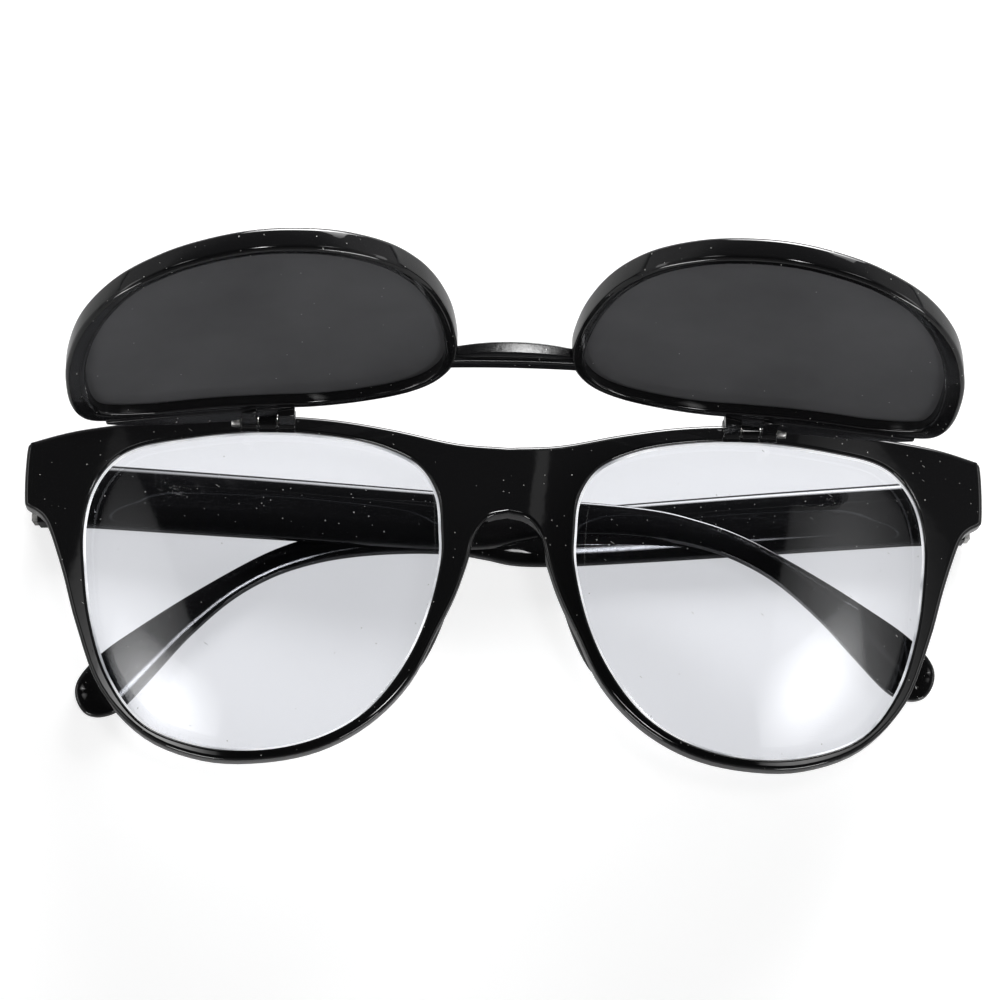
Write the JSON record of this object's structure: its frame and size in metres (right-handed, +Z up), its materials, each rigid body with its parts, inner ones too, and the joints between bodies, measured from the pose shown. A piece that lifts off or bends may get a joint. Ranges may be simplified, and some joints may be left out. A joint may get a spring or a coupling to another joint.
{
  "type": "flip-up welding glasses",
  "caption": "Flip-up welding glasses: a black plastic front with clear lenses, a dark shade that hinges up at the brow, and two folding temples.",
  "frame": {"origin": "on the flat outer face of the folded left temple, which lies on the table, under the bridge", "axes": "+X across the front towards the wearer's left, +Y towards the brow, +Z up, out of the front's face"},
  "size_m": [0.1492, 0.0669, 0.079],
  "materials": {
    "black_plastic": "glossy",
    "clear_lens": "clear, polished",
    "dark_lens": "dark tint, polished",
    "hinge_steel": "nickel-plated"
  },
  "bodies": {
    "left_temple": {"temple_left": "black_plastic", "temple_hinge_leaf_left": "hinge_steel"},
    "front": {"front_frame": "black_plastic", "clear_lens_left": "clear_lens", "clear_lens_right": "clear_lens", "lug_hinge_leaf_left": "hinge_steel", "lug_hinge_leaf_right": "hinge_steel", "lug_rivet_lower_left": "hinge_steel", "lug_rivet_upper_left": "hinge_steel", "lug_rivet_lower_right": "hinge_steel", "lug_rivet_upper_right": "hinge_steel", "hinge_screw_left": "hinge_steel", "hinge_screw_right": "hinge_steel"},
    "shade": {"shade_frame": "black_plastic", "dark_lens_left": "dark_lens", "dark_lens_right": "dark_lens", "shade_hinge_pin_left": "hinge_steel", "shade_hinge_pin_right": "hinge_steel"},
    "right_temple": {"temple_right": "black_plastic", "temple_hinge_leaf_right": "hinge_steel"}
  },
  "joints": [
    {"name": "left_temple_hinge", "type": "hinge", "parent": "left_temple", "child": "front", "pos_m": [0.0702, 0.0057, 0.0044], "axis": [-0.0105, 0.9999, 0], "range_deg": [0, 90]},
    {"name": "shade_flip", "type": "hinge", "parent": "front", "child": "shade", "pos_m": [0, 0.0116, 0.0275], "axis": [1, 0, 0], "range_deg": [0, 102]},
    {"name": "right_temple_hinge", "type": "hinge", "parent": "front", "child": "right_temple", "pos_m": [-0.0702, 0.0057, 0.0044], "axis": [-0.0105, 0.9999, 0], "range_deg": [0, 90]}
  ]
}
